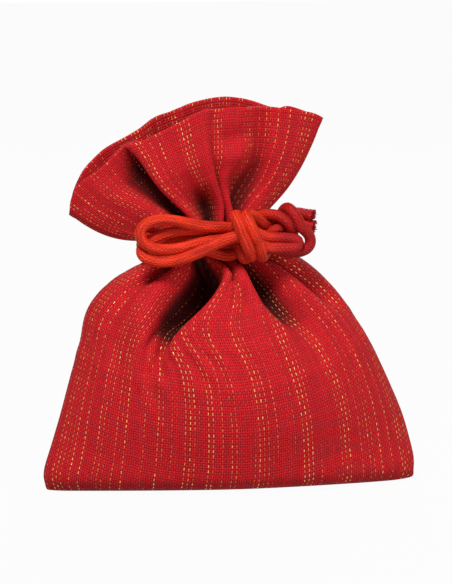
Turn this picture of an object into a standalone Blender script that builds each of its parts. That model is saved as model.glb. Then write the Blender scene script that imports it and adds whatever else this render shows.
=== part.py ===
"""Kinchaku drawstring pouch: a small filled cloth bag tied shut at the neck with a satin cord.

The bag is one sewn piece of cloth, modelled as one closed body. It is a loft of unlike sections: a pointed
oval on the floor, a full belly, a narrow neck that tilts, and an open fan-shaped ruffle above it.
The cord is one piece, folded in half. Its fold hooks the neck, both halves go round it and make a bow.
Metres, +Z up, -Y is the front. The origin is on the floor, under the middle of the bag.
"""
import math

import bmesh
import bpy
import numpy as np
from mathutils import Vector
from mathutils.bvhtree import BVHTree

MM = 0.001

# Filled body, below the neck
BODY_WIDTH = 114.5 * MM  # across the two bottom corners
BELLY_DEPTH = 53 * MM  # front to back, at the fullest height
CORNER_HEIGHT = 3 * MM  # the bottom corners stand this high over the floor
FOOT_WIDTH = 107 * MM  # the flat patch that the bag stands on
FOOT_DEPTH = 26 * MM

# Cord
CORD_DIAMETER = 3 * MM
CORD_GAP = 0.3 * MM  # kept between the cord and the bag
CORD_STEP = 1.2 * MM  # between the points that the cord is settled on
CORD_SLACK = 0.45 * MM  # the built line stays this near the settled one
SETTLE_ROUNDS = 400

# Neck, where the cord gathers the cloth
NECK_HEIGHT = 73.5 * MM
NECK_BAND = 2 * CORD_DIAMETER + 0.2 * MM  # two turns of the cord press this band in
NECK_WIDTH = 33 * MM
NECK_DEPTH = 19 * MM
NECK_OFFSET = -7.3 * MM  # the neck sits left of the middle
NECK_TILT = math.radians(8.5)  # its right side is higher

# Ruffle, above the neck: a fan about the neck's middle
RUFFLE_LEFT_ANGLE = math.radians(168)
RUFFLE_RIGHT_ANGLE = math.radians(45)
RUFFLE_LEFT_RADIUS = 41.5 * MM
RUFFLE_TOP_RADIUS = 38.2 * MM
RUFFLE_RIGHT_RADIUS = 50.8 * MM
MOUTH_DEPTH = 16 * MM  # front to back, outside, at the rim
CLOTH_WALL = 1.8 * MM  # the folded cloth of the ruffle at the rim, and thicker towards the neck
RIM_RISE = 2.2 * MM  # the back layer of the ruffle stands this much above its middle, the front one below

WAIST_PINCH = 0.12  # the ruffle's depth shrinks by this share just above the neck
NECK_THICKENING = 0.8  # the ruffle's wall grows by this share of itself on the way down to the neck

AROUND = 32  # points in each section's cage
RUFFLE_RISES = (0.14, 0.3, 0.5, 0.7, 0.86, 0.965)  # its outside, from the neck (0) to the rim (1)
RIM_INSETS = (0.22, 0.78)  # the rim's two edges, as shares of the wall
MOUTH_RISES = (0.965, 0.82, 0.62, 0.42, 0.28)  # the open mouth's inside, down to its floor

# The foot's two sections: shares of its width and depth, and how pointed the oval is (2 is not at all).
FOOT_OUTLINE = ((0.86, 0.80, 1.7), (1.0, 1.0, 1.6))
# The bottom corners' sections: share of their height, of the body's width and of its depth, and the point.
CORNER_OUTLINE = ((0.36, 0.985, 0.69, 1.55), (1.0, 1.005, 0.76, 1.6))
# The body's sections: share of the height up to the neck, of the width and of the depth, and how far the
# section has moved from under the middle towards the neck.
BODY_OUTLINE = (
    (0.15, 0.965, 0.86, 0.0),
    (0.30, 0.915, 0.98, 0.0),
    (0.46, 0.840, 1.00, 0.12),
    (0.62, 0.755, 0.94, 0.24),
    (0.76, 0.685, 0.82, 0.46),
    (0.87, 0.570, 0.64, 0.56),
    (0.95, 0.420, 0.47, 0.75),
)


def new_material(name, colour, roughness):
    """A plain dielectric finish in one colour."""
    material = bpy.data.materials.new(name)
    material.use_nodes = True
    shader = material.node_tree.nodes["Principled BSDF"]
    shader.inputs["Base Color"].default_value = (*colour, 1)
    shader.inputs["Roughness"].default_value = roughness
    shader.inputs["Metallic"].default_value = 0
    material.diffuse_color = (*colour, 1)
    return material


def neck_centre():
    return Vector((NECK_OFFSET, 0, NECK_HEIGHT))


def section(left, right, half_depth, point=2.0, bow=None, lift=0.0):
    """One closed section of the loft, as points from the right side, round the front, to the left and back.

    left and right are its ends in the plane of the bag, point is 2 for an oval and less for a pointed one,
    bow gives the middle line's own point for a share across, and lift tips the front down and the back up.
    """
    ring = []
    for i in range(AROUND):
        angle = 2 * math.pi * i / AROUND
        across = math.copysign(abs(math.cos(angle)) ** (2 / point), math.cos(angle))
        deep = -math.copysign(abs(math.sin(angle)) ** (2 / point), math.sin(angle))
        share = (across + 1) / 2
        middle = bow(share) if bow else left.lerp(right, share)
        ring.append(middle + Vector((0, half_depth * deep, lift * deep)))
    return ring


def level_section(width, depth, height, point):
    half = width / 2
    return section(Vector((-half, 0, height)), Vector((half, 0, height)), depth / 2, point)


def neck_directions():
    """The neck's own right and up, which its tilt turns."""
    along = Vector((math.cos(NECK_TILT), 0, math.sin(NECK_TILT)))
    return along, Vector((-along.z, 0, along.x))


def neck_ends(side):
    """The neck's left and right ends, on the lower (-1) or the upper edge (1) of its band."""
    along, up = neck_directions()
    middle = neck_centre() + up * side * NECK_BAND / 2
    return middle - along * NECK_WIDTH / 2, middle + along * NECK_WIDTH / 2


def body_sections():
    """From the floor up to the neck."""
    rings = [
        level_section(FOOT_WIDTH * width, FOOT_DEPTH * depth, 0, point)
        for width, depth, point in FOOT_OUTLINE
    ]
    rings += [
        level_section(BODY_WIDTH * width, BELLY_DEPTH * depth, CORNER_HEIGHT * rise, point)
        for rise, width, depth, point in CORNER_OUTLINE
    ]
    for rise, width, depth, drift in BODY_OUTLINE:
        half = BODY_WIDTH / 2 * width
        tilt = NECK_TILT * max(0.0, (rise - 0.5) * 2) ** 1.5
        middle = Vector((NECK_OFFSET * drift, 0, (NECK_HEIGHT - NECK_BAND / 2) * rise))
        along = Vector((math.cos(tilt), 0, math.sin(tilt))) * half
        rings.append(section(middle - along, middle + along, BELLY_DEPTH / 2 * depth, 1.5 + 0.5 * rise))
    return rings


def rim_point(share):
    """The rim's middle line, for a share of the way from its left corner to its right one."""
    angle = RUFFLE_LEFT_ANGLE + (RUFFLE_RIGHT_ANGLE - RUFFLE_LEFT_ANGLE) * share
    ends = RUFFLE_LEFT_RADIUS * (1 - share) + RUFFLE_RIGHT_RADIUS * share
    dip = (RUFFLE_LEFT_RADIUS + RUFFLE_RIGHT_RADIUS) / 2 - RUFFLE_TOP_RADIUS
    radius = ends - 4 * dip * share * (1 - share)
    return neck_centre() + Vector((math.cos(angle), 0, math.sin(angle))) * radius


def ruffle_section(rise, inset):
    """A section of the ruffle. rise is 0 at the neck and 1 at the rim, inset is the wall it is inside of."""
    neck_left, neck_right = neck_ends(1)

    def middle(share):
        share = inset / NECK_WIDTH + share * (1 - 2 * inset / NECK_WIDTH)
        flat = neck_left.lerp(neck_right, share)
        return flat.lerp(rim_point(share), rise)

    waist = 1 - math.sin(math.pi * min(1, rise * 1.6)) * WAIST_PINCH
    half_depth = (NECK_DEPTH + (MOUTH_DEPTH - NECK_DEPTH) * rise) / 2 * waist - inset
    return section(None, None, half_depth, 2.0 - 0.3 * rise, middle, RIM_RISE * rise)


def build_pouch(collection):
    """The whole bag: body, neck and ruffle with its open mouth, as one closed body."""
    rings = body_sections()
    rings += [section(*neck_ends(side), NECK_DEPTH / 2) for side in (-1, 0, 1)]
    rings += [ruffle_section(rise, 0) for rise in RUFFLE_RISES]
    rings += [ruffle_section(1, CLOTH_WALL * inset) for inset in RIM_INSETS]
    rings += [ruffle_section(rise, CLOTH_WALL * (1 + NECK_THICKENING * (1 - rise))) for rise in MOUTH_RISES]

    shape = bmesh.new()
    loops = [[shape.verts.new(point) for point in ring] for ring in rings]
    for lower, upper in zip(loops, loops[1:]):
        for i in range(AROUND):
            j = (i + 1) % AROUND
            shape.faces.new((lower[i], upper[i], upper[j], lower[j]))
    shape.faces.new(loops[0])
    shape.faces.new(reversed(loops[-1]))
    bmesh.ops.recalc_face_normals(shape, faces=shape.faces)
    mesh = bpy.data.meshes.new("pouch")
    shape.to_mesh(mesh)
    shape.free()
    mesh.shade_smooth()
    pouch = bpy.data.objects.new("pouch", mesh)
    collection.objects.link(pouch)
    smooth = pouch.modifiers.new("soft form", "SUBSURF")
    smooth.levels = smooth.render_levels = 1
    mesh.materials.append(new_material("red cloth", (0.58, 0.013, 0.021), 0.75))
    return pouch


# The cord's two halves, in millimetres from the neck's middle. Each runs from its cut end in the overhand knot
# to where it meets the neck at the front. The outer half makes the outer loops, the inner half the others.
OUTER_HALF = (
    (29.6, -13, 4.8), (27, -12.4, 5.4), (24, -12.4, 5.2), (18.8, -14, 4.6),
    (15.8, -13, 3.4), (14.8, -10.4, 0.8), (14.4, -11, -2), (13, -14, -3.4),
    (11.4, -18, -2.2), (10.4, -20.4, 1.2), (8.8, -21.2, 5.8), (7.4, -20, 8.8),
    (7.4, -16.4, 9.8), (10, -13.6, 8.4), (14.2, -10.4, 5.6), (18, -9, 6.2),
    (19.8, -10, 9.2), (20.6, -13.6, 11), (21.8, -17, 9.8), (24.4, -17.6, 5.8),
    (27.6, -16, 2.2), (28, -15.6, -1.2), (24.8, -15.6, -3), (19.2, -15, -3),
    (14.4, -14.4, -1.8), (8.6, -14.4, 0.8), (2.8, -14, 1), (-4.6, -14, 0.2),
    (-11.4, -14.8, -1.2), (-18.6, -15.2, -1), (-23, -15.6, 1.6), (-23.2, -15.6, 5.6),
    (-18.4, -15.6, 8), (-12.2, -15.6, 7.6), (-4.8, -15, 5.8), (2.6, -14.4, 5),
    (8.6, -12.4, 4), (10.8, -12, 1), (9.2, -11.8, -2.4), (5.6, -10.8, -4.4),
    (1.4, -11.6, -3), (-3, -12, -1),
)
INNER_HALF = (
    (29.4, -13, 7.6), (27.2, -12, 8.4), (24.6, -10.4, 9), (23.2, -8.4, 7),
    (22.8, -9, 4), (23, -14, 3), (21.2, -17.2, 6.2), (18.6, -15, 8.2),
    (16, -12.4, 8.4), (13.6, -9.6, 7.8), (12.6, -8, 5), (12.4, -9.6, 0.6),
    (11, -12.4, -2.8), (9, -17, -3.8), (7.8, -20.4, -1), (6.2, -21.6, 4),
    (4.4, -20.4, 8), (4.6, -17, 9.4), (7.4, -14.4, 8.4), (10.8, -15.2, 4.2),
    (15.4, -15, 2), (22.6, -15, 1.8), (25.8, -15, 0.2), (23, -15.2, -1.2),
    (16, -15.2, -0.8), (10.2, -16.4, 1), (5.4, -17.6, 2.8), (0.2, -17.6, 1.2),
    (-5.8, -17, -2), (-12.4, -16.4, -4.4), (-18.4, -15.2, -4.8), (-22.4, -14, -2.8),
    (-21.2, -12.8, 0), (-15.6, -12.6, 2.4), (-8.6, -12.8, 3.6), (-1.2, -12.4, 2.8),
    (5.6, -12, 2.6), (8, -11.8, 0.2), (6.4, -10.8, -2.4), (3.4, -11.2, -1.4),
    (-1.6, -11.8, 0.6),
)
# The fold in the middle of the cord, which both halves pass under at the front of the neck.
FOLD = (
    (11.8, -8.8, -3.4), (9.4, -10.4, -5), (7.4, -13.2, -4.6), (7.6, -14, -2),
    (7, -12.8, -0.2), (9.6, -9.8, 1.4), (13, -8, 2.8),
)


def neck_turn(side, first=205, last=-30, steps=7):
    """One turn of the cord round the back of the neck, from the front left. side is -1 below, 1 above."""
    reach = CORD_DIAMETER / 2 + CORD_GAP
    along, up = neck_directions()
    for i in range(steps):
        angle = math.radians(first + (last - first) * i / (steps - 1))
        place = neck_centre() + along * math.cos(angle) * (NECK_WIDTH / 2 + reach)
        yield place + Vector((0, math.sin(angle) * (NECK_DEPTH / 2 + reach), 0)) + up * side * CORD_DIAMETER / 2


def smooth_curve(points, spacing):
    """Evenly spaced points on a smooth curve through the given ones (Catmull-Rom, centripetal)."""
    knots = [points[0] * 2 - points[1], *points, points[-1] * 2 - points[-2]]
    dense = []
    for before, start, end, after in zip(knots, knots[1:], knots[2:], knots[3:]):
        gaps = [math.sqrt((b - a).length) for a, b in ((before, start), (start, end), (end, after))]
        t1 = gaps[0]
        t2 = t1 + gaps[1]
        t3 = t2 + gaps[2]
        for i in range(16):
            t = t1 + (t2 - t1) * i / 16
            a1 = before * ((t1 - t) / t1) + start * (t / t1)
            a2 = start * ((t2 - t) / (t2 - t1)) + end * ((t - t1) / (t2 - t1))
            a3 = end * ((t3 - t) / (t3 - t2)) + after * ((t - t2) / (t3 - t2))
            b1 = a1 * ((t2 - t) / t2) + a2 * (t / t2)
            b2 = a2 * ((t3 - t) / (t3 - t1)) + a3 * ((t - t1) / (t3 - t1))
            dense.append(b1 * ((t2 - t) / (t2 - t1)) + b2 * ((t - t1) / (t2 - t1)))
    dense.append(points[-1])
    line = np.array(dense)
    run = np.concatenate(([0], np.cumsum(np.linalg.norm(np.diff(line, axis=0), axis=1))))
    places = np.linspace(0, run[-1], round(run[-1] / spacing) + 1)
    return np.stack([np.interp(places, run, line[:, k]) for k in range(3)], 1)


def settle(line, spacing, pitch, blocker, keep_out):
    """Moves a cord's line apart where it runs too near itself or the bag, and keeps its shape elsewhere."""
    seed = line.copy()
    index = np.arange(len(line))
    near = int(1.5 * pitch / spacing)
    apart = np.abs(index[:, None] - index[None, :]) <= near
    for turn in range(SETTLE_ROUNDS):
        shift = line - seed
        for _ in range(3):
            shift[1:-1] = shift[1:-1] * 0.4 + (shift[:-2] + shift[2:]) * 0.3
        line = seed + shift * 0.998
        if turn > SETTLE_ROUNDS * 0.6:
            bend = (line[:-2] + line[2:]) / 2 - line[1:-1]
            line[1:-1] += bend * 0.12
        gap = line[:, None, :] - line[None, :, :]
        away = np.linalg.norm(gap, axis=2)
        away[apart] = 1
        push = np.clip(pitch - away, 0, None) / away
        line = line + (gap * push[:, :, None]).sum(1) * 0.3
        for i, place in enumerate(line):
            spot, normal, _, distance = blocker.find_nearest(Vector(place))
            outside = (Vector(place) - spot).dot(normal) > 0
            depth = keep_out - (distance if outside else -distance)
            if depth > 0:
                line[i] += np.array(normal) * depth * 0.5
    return line


def thin_out(line, slack):
    """The fewest points of a line that stay within slack of it."""
    keep = [0, len(line) - 1]
    spans = [(0, len(line) - 1)]
    while spans:
        start, end = spans.pop()
        run = line[end] - line[start]
        between = line[start + 1:end] - line[start]
        if len(between) == 0:
            continue
        share = np.clip(between @ run / (run @ run), 0, 1)
        off = np.linalg.norm(between - share[:, None] * run, axis=1)
        if off.max() > slack:
            worst = start + 1 + int(off.argmax())
            keep.append(worst)
            spans += [(start, worst), (worst, end)]
    return line[sorted(keep)]


def build_drawcord(collection, pouch):
    """The cord, one tube from cut end to cut end."""
    outer, inner, fold = (
        [neck_centre() + Vector(point) * MM for point in points] for points in (OUTER_HALF, INNER_HALF, FOLD)
    )
    route = outer + list(neck_turn(-1)) + fold + list(neck_turn(1))[::-1] + inner[::-1]
    graph = bpy.context.evaluated_depsgraph_get()
    blocker = BVHTree.FromObject(pouch, graph)
    line = smooth_curve(route, CORD_STEP)
    line = settle(line, CORD_STEP, CORD_DIAMETER, blocker, CORD_DIAMETER / 2 + CORD_GAP + CORD_SLACK)
    line = thin_out(line, CORD_SLACK)
    curve = bpy.data.curves.new("drawcord", "CURVE")
    curve.dimensions = "3D"
    curve.bevel_depth = CORD_DIAMETER / 2
    curve.bevel_resolution = 2
    curve.use_fill_caps = True
    spline = curve.splines.new("POLY")
    spline.points.add(len(line) - 1)
    for point, place in zip(spline.points, line):
        point.co = (*place, 1)
    curve.materials.append(new_material("red satin", (0.77, 0.038, 0.017), 0.4))
    drawcord = bpy.data.objects.new("drawcord", curve)
    collection.objects.link(drawcord)
    return drawcord


def main():
    for thing in list(bpy.data.objects):
        bpy.data.objects.remove(thing, do_unlink=True)
    collection = bpy.data.collections.new("kinchaku_pouch")
    bpy.context.scene.collection.children.link(collection)
    pouch = build_pouch(collection)
    build_drawcord(collection, pouch)


main()
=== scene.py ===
"""Kinchaku drawstring pouch: a filled bag of gold-flecked red cloth, tied shut with a red satin cord.

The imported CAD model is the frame. The cord follows the CAD cord's own route, and the cloth follows the CAD
bag's sections, with its folds, weave and sewn edges added. Metres, +Z up, -Y is the front.
"""
import functools
import math

import bmesh
import bpy
import numpy as np
from bpy.props import FloatProperty, FloatVectorProperty, IntProperty, PointerProperty
from bpy.types import Operator, Panel, PropertyGroup
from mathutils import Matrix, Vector
from mathutils.bvhtree import BVHTree
from mathutils.kdtree import KDTree


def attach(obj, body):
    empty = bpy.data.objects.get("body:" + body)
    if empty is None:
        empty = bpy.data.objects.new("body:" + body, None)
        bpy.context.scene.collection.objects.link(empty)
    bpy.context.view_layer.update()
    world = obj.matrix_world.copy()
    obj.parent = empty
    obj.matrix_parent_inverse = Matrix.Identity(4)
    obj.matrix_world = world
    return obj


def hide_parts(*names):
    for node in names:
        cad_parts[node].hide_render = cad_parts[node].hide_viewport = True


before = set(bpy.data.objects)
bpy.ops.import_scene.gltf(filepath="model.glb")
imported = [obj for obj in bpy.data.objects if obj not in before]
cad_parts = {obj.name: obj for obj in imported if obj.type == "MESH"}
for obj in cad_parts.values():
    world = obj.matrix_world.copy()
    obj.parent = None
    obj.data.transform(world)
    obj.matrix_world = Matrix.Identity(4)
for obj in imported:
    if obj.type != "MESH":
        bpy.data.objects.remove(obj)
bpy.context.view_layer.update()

bl_info = {
    "name": "Kinchaku Pouch",
    "version": (1, 0, 0),
    "blender": (4, 5, 0),
    "location": "View3D > Sidebar > Pouch",
    "description": "Builds the cloth, cord and stage of a drawstring pouch around its CAD model",
    "category": "Object",
}

MM = 0.001

# Sizes of the bag and its cord, as the CAD source has them
BODY_WIDTH = 114.5 * MM
BELLY_DEPTH = 53 * MM
CORNER_HEIGHT = 3 * MM
CORD_DIAMETER = 3 * MM
NECK_HEIGHT = 73.5 * MM
NECK_BAND = 2 * CORD_DIAMETER + 0.2 * MM
NECK_WIDTH = 33 * MM
NECK_DEPTH = 19 * MM
NECK_OFFSET = -7.3 * MM
NECK_TILT = math.radians(8.5)
RUFFLE_LEFT_ANGLE = math.radians(168)
RUFFLE_RIGHT_ANGLE = math.radians(45)
MOUTH_DEPTH = 16 * MM
WAIST_PINCH = 0.12  # how much shallower the ruffle is a little above its neck

# Sections of the bag from its corners up to its neck, in shares of its sizes: height, width and depth, then
# the section's roundness at the corners, and its share of the neck's offset above them
CORNER_OUTLINE = ((0.36, 0.985, 0.69, 1.55), (1.0, 1.005, 0.76, 1.6))
BODY_OUTLINE = (
    (0.15, 0.965, 0.86, 0.0),
    (0.30, 0.915, 0.98, 0.0),
    (0.46, 0.840, 1.00, 0.12),
    (0.62, 0.755, 0.94, 0.24),
    (0.76, 0.685, 0.82, 0.46),
    (0.87, 0.570, 0.64, 0.56),
    (0.95, 0.420, 0.47, 0.75),
)

# The cord's route, which is settled as in the CAD source
CORD_GAP = 0.3 * MM  # between cord and bag
CORD_SLACK = 0.45 * MM  # added to that gap
CORD_STEP = 1.2 * MM
SETTLE_ROUNDS = 400
CURVE_STEPS = 16  # from one given point of a curve to the next

# The cord's two halves and its fold, in millimetres from the neck's middle
OUTER_HALF = (
    (29.6, -13, 4.8), (27, -12.4, 5.4), (24, -12.4, 5.2), (18.8, -14, 4.6),
    (15.8, -13, 3.4), (14.8, -10.4, 0.8), (14.4, -11, -2), (13, -14, -3.4),
    (11.4, -18, -2.2), (10.4, -20.4, 1.2), (8.8, -21.2, 5.8), (7.4, -20, 8.8),
    (7.4, -16.4, 9.8), (10, -13.6, 8.4), (14.2, -10.4, 5.6), (18, -9, 6.2),
    (19.8, -10, 9.2), (20.6, -13.6, 11), (21.8, -17, 9.8), (24.4, -17.6, 5.8),
    (27.6, -16, 2.2), (28, -15.6, -1.2), (24.8, -15.6, -3), (19.2, -15, -3),
    (14.4, -14.4, -1.8), (8.6, -14.4, 0.8), (2.8, -14, 1), (-4.6, -14, 0.2),
    (-11.4, -14.8, -1.2), (-18.6, -15.2, -1), (-23, -15.6, 1.6), (-23.2, -15.6, 5.6),
    (-18.4, -15.6, 8), (-12.2, -15.6, 7.6), (-4.8, -15, 5.8), (2.6, -14.4, 5),
    (8.6, -12.4, 4), (10.8, -12, 1), (9.2, -11.8, -2.4), (5.6, -10.8, -4.4),
    (1.4, -11.6, -3), (-3, -12, -1),
)
INNER_HALF = (
    (29.4, -13, 7.6), (27.2, -12, 8.4), (24.6, -10.4, 9), (23.2, -8.4, 7),
    (22.8, -9, 4), (23, -14, 3), (21.2, -17.2, 6.2), (18.6, -15, 8.2),
    (16, -12.4, 8.4), (13.6, -9.6, 7.8), (12.6, -8, 5), (12.4, -9.6, 0.6),
    (11, -12.4, -2.8), (9, -17, -3.8), (7.8, -20.4, -1), (6.2, -21.6, 4),
    (4.4, -20.4, 8), (4.6, -17, 9.4), (7.4, -14.4, 8.4), (10.8, -15.2, 4.2),
    (15.4, -15, 2), (22.6, -15, 1.8), (25.8, -15, 0.2), (23, -15.2, -1.2),
    (16, -15.2, -0.8), (10.2, -16.4, 1), (5.4, -17.6, 2.8), (0.2, -17.6, 1.2),
    (-5.8, -17, -2), (-12.4, -16.4, -4.4), (-18.4, -15.2, -4.8), (-22.4, -14, -2.8),
    (-21.2, -12.8, 0), (-15.6, -12.6, 2.4), (-8.6, -12.8, 3.6), (-1.2, -12.4, 2.8),
    (5.6, -12, 2.6), (8, -11.8, 0.2), (6.4, -10.8, -2.4), (3.4, -11.2, -1.4),
    (-1.6, -11.8, 0.6),
)
FOLD = (
    (11.8, -8.8, -3.4), (9.4, -10.4, -5), (7.4, -13.2, -4.6), (7.6, -14, -2),
    (7, -12.8, -0.2), (9.6, -9.8, 1.4), (13, -8, 2.8),
)

# The satin surface: its cells, how much it widens at its cut ends and over the front of the knot, and how its
# two turns over the knot are drawn together
CORD_CELL = 0.6 * MM
CORD_SIDES = 16
END_FLARE = 0.22
FLARE_REACH = 1.6  # millimetres from the cut
KNOT_SWELL = 0.06
KNOT_FRONT = 16.5  # millimetres in front of the neck's middle, where the cord begins to lie over the knot
KNOT_BLEND = 3  # and how many millimetres further out it does so wholly
KNOT_REACH = 1.8 * CORD_DIAMETER  # two turns nearer than this are drawn together
PULL_LEFT, PULL_RIGHT = 0.24, 0.05  # by these shares of the way, to a turn that lies further left or right
BESIDE = 12  # points of one turn that don't count as another turn

# The loose fibres at each cut end. Lengths and thicknesses are in millimetres
FRAYED_ENDS = ("lower_frayed_end", "upper_frayed_end")
FRAYED_REACH = 1.15  # of half the cord's thickness
ROOTS_WITHIN = 0.9  # of that
FIBRE_ROOT = 1.2 * MM  # behind the cut
FIBRE_LENGTHS = (1.2, 2.1)
FIBRE_THICKNESSES = (0.26, 0.40)
FIBRE_STEPS = 4
FIBRE_SIDES = (0, 2.1, 4.2)  # angles of its three edges
FIBRE_SPREAD = 0.22  # how far the outer ones lean out, for each millimetre of their length
FIBRE_STRAY = 0.07
FIBRE_CURL = 0.12
FIBRE_TAPER = 0.65
END_POINTS = 12  # of the cord, which give the way that its cut end points

# The cloth, as it was cut and sewn before it was filled and tied
FLAT_WIDTH = 124 * MM
BELOW_TIE = 95 * MM
ABOVE_TIE = 40 * MM

# Its cells, and the finer surface that they are cut from
AROUND = 144
ROWS_BODY = 56
ROWS_NECK = 4
ROWS_RUFFLE = 23
CELL = 2 * FLAT_WIDTH / AROUND
RING_STEPS = 12  # from one control ring of the body to the next
RUFFLE_STEPS = 4  # for each row of the ruffle
SAMPLES = 241  # across each half of a row, before it is cut into cells

# How it is folded and relaxed
LAYER_GAP = 0.6 * MM  # the folds of the front and the back half stay this far from the middle
MOST_FOLD = 1.6  # times the depth that a fold's line says
FOLD_SEARCH = 20  # halvings
RELAX_REACH = 7 * MM  # no point of the cloth moves further than this
SHEAR = 0.05  # stiffness of the diagonals, where that of the threads is 1
BEND = 0.12  # and against bending
ROUGHNESS = 0.3 * MM  # of the laid cloth, before it settles
ROUGH_ROUNDS = 6  # of smoothing, which set how wide its bumps are
BODY_EASE = 0.975  # width of the filled cloth, as a share of the flat one
EASE_CHANGE = (0, 8)  # millimetres above the tie, between which the ruffle's laid width takes over
PRESS_EVERY = 4  # steps, after which the filling's direction is worked out again
CORD_EVERY = 10  # steps, after which the cloth is moved off the cord
CORD_CLEARANCE = 0.05 * MM
TIE_REACH = 30 * MM  # further from the tie, the cloth can't touch the cord
# How much further out the filled cloth's sides are than the CAD bag's, in millimetres, for shares of height
LEFT_EASE = (
    (0.15, -0.6), (0.30, -0.9), (0.46, -1.4), (0.62, -1.4), (0.70, 0), (0.80, 2.2), (0.88, 3.4),
    (0.95, 3.4),
)
RIGHT_EASE = ((0.15, 0.9), (0.30, 1.0), (0.46, 0.2), (0.62, -0.9), (0.76, -2.0), (0.87, -1.6), (0.95, 0))
# Between these heights, in millimetres above the tie, the folds come to be as deep as their lines say, and
# the warp threads come to keep to the crests and hollows
FOLDS_AS_DRAWN = (5, 11)
THREADS_IN_FOLDS = (-48, -14)
THREAD_ROUNDS = 80  # of smoothing, for the warp threads near the tie
EVEN_ROUNDS = 6  # and further down
SEAM_POWER = 6  # how sharply the folds end at the two seams
# The cloth's sections under the bag's corners, where it rounds in to the fold that it stands on. In
# millimetres: left end, right end, half depth and height, and then how round the section is
FOOT_SECTIONS = ((55.0, 57.0, 0.0, 0.0, 1.6), (55.2, 57.1, 6.5, 0.4, 1.6), (55.5, 57.2, 13.0, 1.2, 1.6))
CORNER_LIFT = 1.5  # millimetres that the cloth's corners lie higher than the CAD bag's
LEFT_CORNER_IN = 0.8  # millimetres that the left one lies further in
FOOT_SLANT = 4.0  # millimetres that the fold runs forward from its left end to its right one
SLANT_HEIGHT = 10  # millimetres, over which this slant fades out
# How far the ruffle's two sides bulge halfway up, in millimetres
LEFT_SWELL = (-0.8, 0, -2.4)
RIGHT_SWELL = (1.9, 0, -1.5)
# How firmly the cloth is held where it was laid, and how hard the filling presses it, in millimetres a step,
# for millimetres of cloth above the tie
HOLD = (
    (-95, 0.5), (-88, 0.25), (-80, 0.08), (-70, 0.03), (-60, 0.012), (-44, 0.01), (-34, 0.04), (-24, 0.10),
    (-6, 0.15), (-1, 0.3), (0, 0.5), (6.2, 0.5), (9, 0.3), (12, 0.15), (47, 0.12),
)
PRESS = ((-95, 0), (-80, 0.004), (-60, 0.008), (-10, 0.008), (0, 0), (47, 0))

# The ruffle's rim, from the left seam (0) to the right one (1): millimetres from the neck's middle
FRONT_RIM = (
    (0, 41.3), (0.05, 43.0), (0.11, 42.3), (0.14, 41.2), (0.18, 39.6), (0.23, 39.0), (0.29, 38.9),
    (0.335, 37.4), (0.37, 36.6), (0.47, 36.3), (0.556, 38.1), (0.606, 39.6), (0.65, 39.6), (0.74, 41.0),
    (0.81, 43.1), (0.88, 45.5), (0.915, 47.1), (0.97, 50.1), (1, 50.8),
)
BACK_RIM = (
    (0, 41.3), (0.07, 41.6), (0.14, 41.8), (0.23, 40.3), (0.35, 38.2), (0.50, 38.9), (0.59, 40.2),
    (0.70, 42.9), (0.80, 43.9), (0.88, 44.8), (0.90, 47.0), (0.95, 48.9), (1, 50.8),
)

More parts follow.
